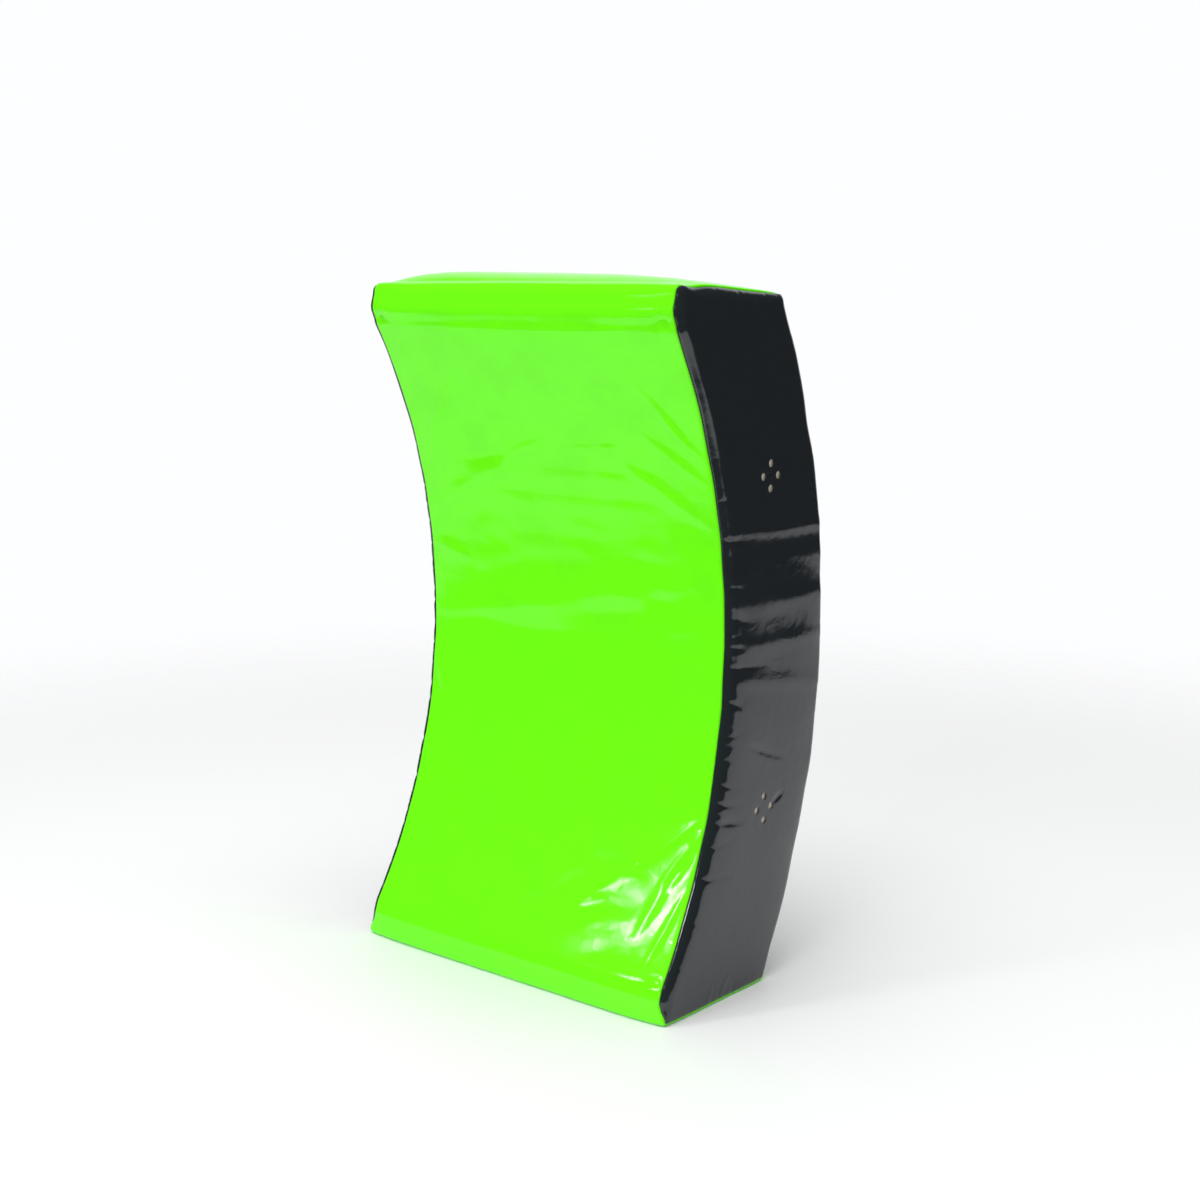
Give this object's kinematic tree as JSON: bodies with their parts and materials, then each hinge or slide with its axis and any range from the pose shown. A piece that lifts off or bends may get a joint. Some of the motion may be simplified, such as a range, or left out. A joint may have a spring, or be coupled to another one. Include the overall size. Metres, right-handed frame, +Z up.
{
  "type": "curved tackle pad",
  "caption": "Curved foam tackle pad with a hollow front, green and black vinyl cover, punched side vents, rear zip and padded webbing grab handles.",
  "frame": {"origin": "middle of the flat bottom face that the pad stands on", "axes": "+Z up the pad, -Y out of the hollow front, +Y towards the handles, +X to the right of someone facing the front"},
  "size_m": [0.4348, 0.3475, 0.76],
  "materials": {
    "green_vinyl": "glossy coated cloth, neon green",
    "black_vinyl": "glossy coated cloth, black",
    "foam": "open foam, cream",
    "webbing": "woven webbing, black",
    "zip_nylon": "woven tape and moulded teeth, black",
    "zip_metal": "die cast, black enamel"
  },
  "bodies": {
    "pad": {"impact_foam": "foam", "backing_foam": "foam", "wrap_panel": "green_vinyl", "side_panel_left": "black_vinyl", "side_panel_right": "black_vinyl", "back_panel_lower": "black_vinyl", "back_panel_upper": "black_vinyl", "zip_stringer_lower": "zip_nylon", "zip_stringer_upper": "zip_nylon", "zip_stop_left": "zip_nylon", "zip_stop_right": "zip_nylon", "handle_left_sewn_end_lower": "webbing", "handle_left_sewn_end_upper": "webbing", "handle_left_patch_lower": "black_vinyl", "handle_left_patch_upper": "black_vinyl", "handle_right_sewn_end_lower": "webbing", "handle_right_sewn_end_upper": "webbing", "handle_right_patch_lower": "black_vinyl", "handle_right_patch_upper": "black_vinyl"},
    "zip_slider": {"zip_slider": "zip_metal"},
    "zip_tab": {"zip_pull_tab": "zip_metal"},
    "handle_left": {"handle_left_loop": "webbing", "handle_left_grip": "black_vinyl"},
    "handle_right": {"handle_right_loop": "webbing", "handle_right_grip": "black_vinyl"}
  },
  "joints": [
    {"name": "handle_left_swing", "type": "hinge", "parent": "pad", "child": "handle_left", "pos_m": [-0.1, 0.18525, 0.37314], "axis": [0, 0.0256, 0.9997], "range_deg": [-30, 30]},
    {"name": "handle_right_swing", "type": "hinge", "parent": "pad", "child": "handle_right", "pos_m": [0.1, 0.18525, 0.37314], "axis": [0, 0.0256, 0.9997], "range_deg": [-30, 30]},
    {"name": "zip_slide", "type": "slide", "parent": "pad", "child": "zip_slider", "axis": [1, 0, 0], "range_m": [0, 0.346]},
    {"name": "zip_tab_flip", "type": "hinge", "parent": "zip_slider", "child": "zip_tab", "pos_m": [-0.1732, 0.1454, 0.67139], "axis": [0, -0.3621, 0.9321], "range_deg": [0, 175]}
  ]
}
